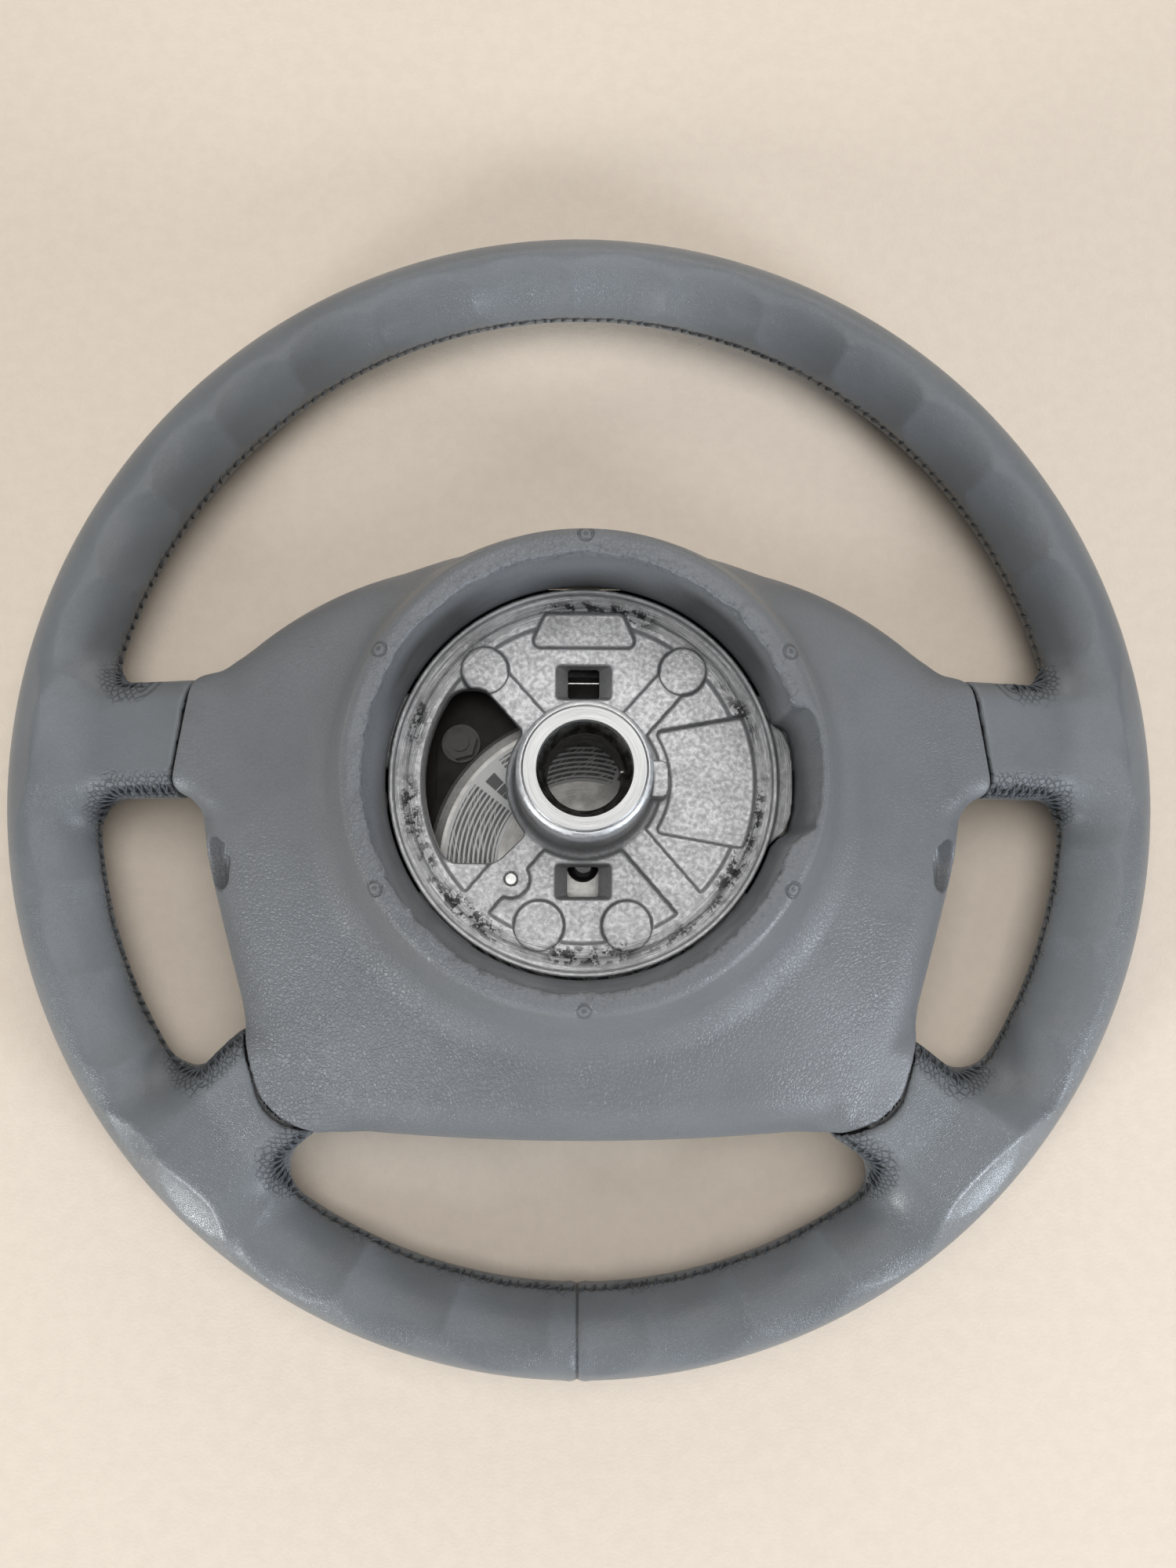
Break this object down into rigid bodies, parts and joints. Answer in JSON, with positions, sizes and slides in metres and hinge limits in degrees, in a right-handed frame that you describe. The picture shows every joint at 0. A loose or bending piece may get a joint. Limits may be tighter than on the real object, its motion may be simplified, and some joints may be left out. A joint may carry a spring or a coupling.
{
  "type": "car steering wheel with driver airbag module",
  "caption": "Four-spoke leather-wrapped steering wheel with cast armature, splined hub, rear cover and a sprung airbag module that presses the horn.",
  "frame": {"origin": "on the steering axis, in the front plane of the rim, which is the plane the wheel lies on", "axes": "+Z along the steering axis towards the column, +Y to the top of the wheel, +X to the right as seen from behind the wheel"},
  "size_m": [0.39, 0.39, 0.092],
  "materials": {
    "cast_aluminium": "matte",
    "machined_steel": "satin",
    "bright_steel": "satin",
    "core_steel": "matte",
    "rim_foam": "matte",
    "rim_leather": "satin",
    "seam_thread": "matte",
    "grey_vinyl": "matte",
    "zinc_steel": "satin",
    "black_steel": "satin",
    "white_plastic": "satin",
    "contact_brass": "satin",
    "tray_steel": "satin",
    "can_steel": "satin",
    "label_film": "satin",
    "black_plastic": "gloss",
    "pressed_powder": "matte",
    "airbag_fabric": "matte"
  },
  "bodies": {
    "wheel": {"hub_armature": "cast_aluminium", "splined_bush": "machined_steel", "earth_rivet": "bright_steel", "earth_wire": "bright_steel", "rim_core": "core_steel", "rim_foam": "rim_foam", "rim_leather": "rim_leather", "rim_thread": "seam_thread", "rear_cover": "grey_vinyl", "cover_screws": "zinc_steel", "horn_plate_left": "zinc_steel", "horn_plate_right": "zinc_steel", "tab_nuts": "zinc_steel", "module_screws": "black_steel", "guide_bushes": "white_plastic", "fixed_contacts": "contact_brass", "horn_springs": "bright_steel"},
    "airbag_module": {"airbag_cover": "grey_vinyl", "airbag_tray": "tray_steel", "cover_rivets": "bright_steel", "retainer_ring": "zinc_steel", "retainer_studs": "black_steel", "retainer_nuts": "black_steel", "inflator_diffuser": "can_steel", "inflator_flange": "tray_steel", "inflator_closure": "can_steel", "inflator_label": "label_film", "igniter": "bright_steel", "igniter_cap": "black_plastic", "gas_generant": "pressed_powder", "folded_airbag": "airbag_fabric", "guide_bolts": "zinc_steel", "moving_contacts": "contact_brass"}
  },
  "joints": [
    {"name": "horn_press", "type": "slide", "parent": "wheel", "child": "airbag_module", "axis": [0, 0, 1], "range_m": [0, 0.0025], "stiffness_N_per_m": 8000, "springref_m": -0.003, "deforming": ["horn_springs"]}
  ]
}
